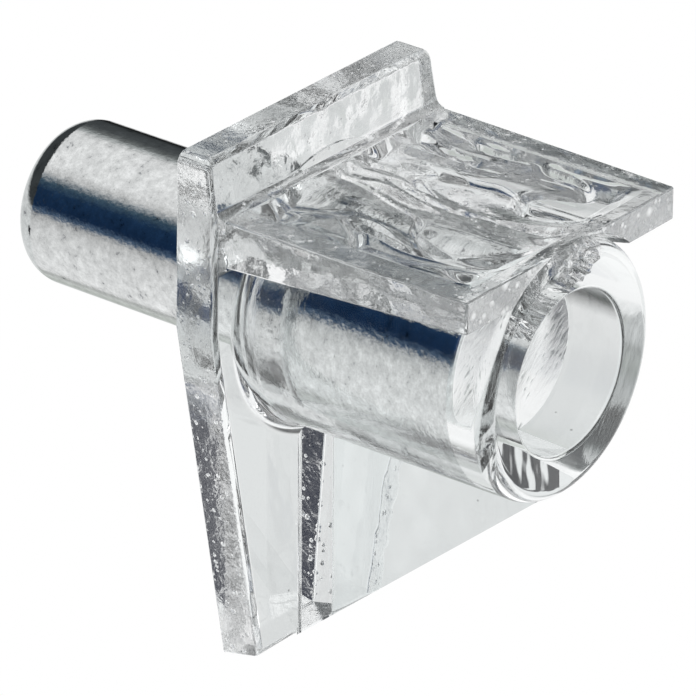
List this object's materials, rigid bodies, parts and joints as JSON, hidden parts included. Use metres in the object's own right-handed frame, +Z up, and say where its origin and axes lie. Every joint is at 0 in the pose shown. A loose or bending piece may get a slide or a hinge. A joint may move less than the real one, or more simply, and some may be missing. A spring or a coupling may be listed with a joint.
{
  "type": "shelf support pin",
  "caption": "Clear plastic bracket with a steel pin that plugs into a hole in a cabinet side and carries the end of a shelf.",
  "frame": {"origin": "on the pin's axis, in the plane of the back plate's rear face, which lies against the cabinet's side", "axes": "+Y along the pin towards its free end, into the cabinet's side; +Z up; +X to the right for someone who faces the bracket's front"},
  "size_m": [0.0104, 0.0186, 0.0167],
  "materials": {
    "clear_plastic": "clear moulded polystyrene, glossy, with finely etched edges",
    "plated_steel": "bright zinc-plated steel with light handling marks"
  },
  "bodies": {
    "root": {"clear_bracket": "clear_plastic", "steel_pin": "plated_steel"}
  },
  "joints": []
}
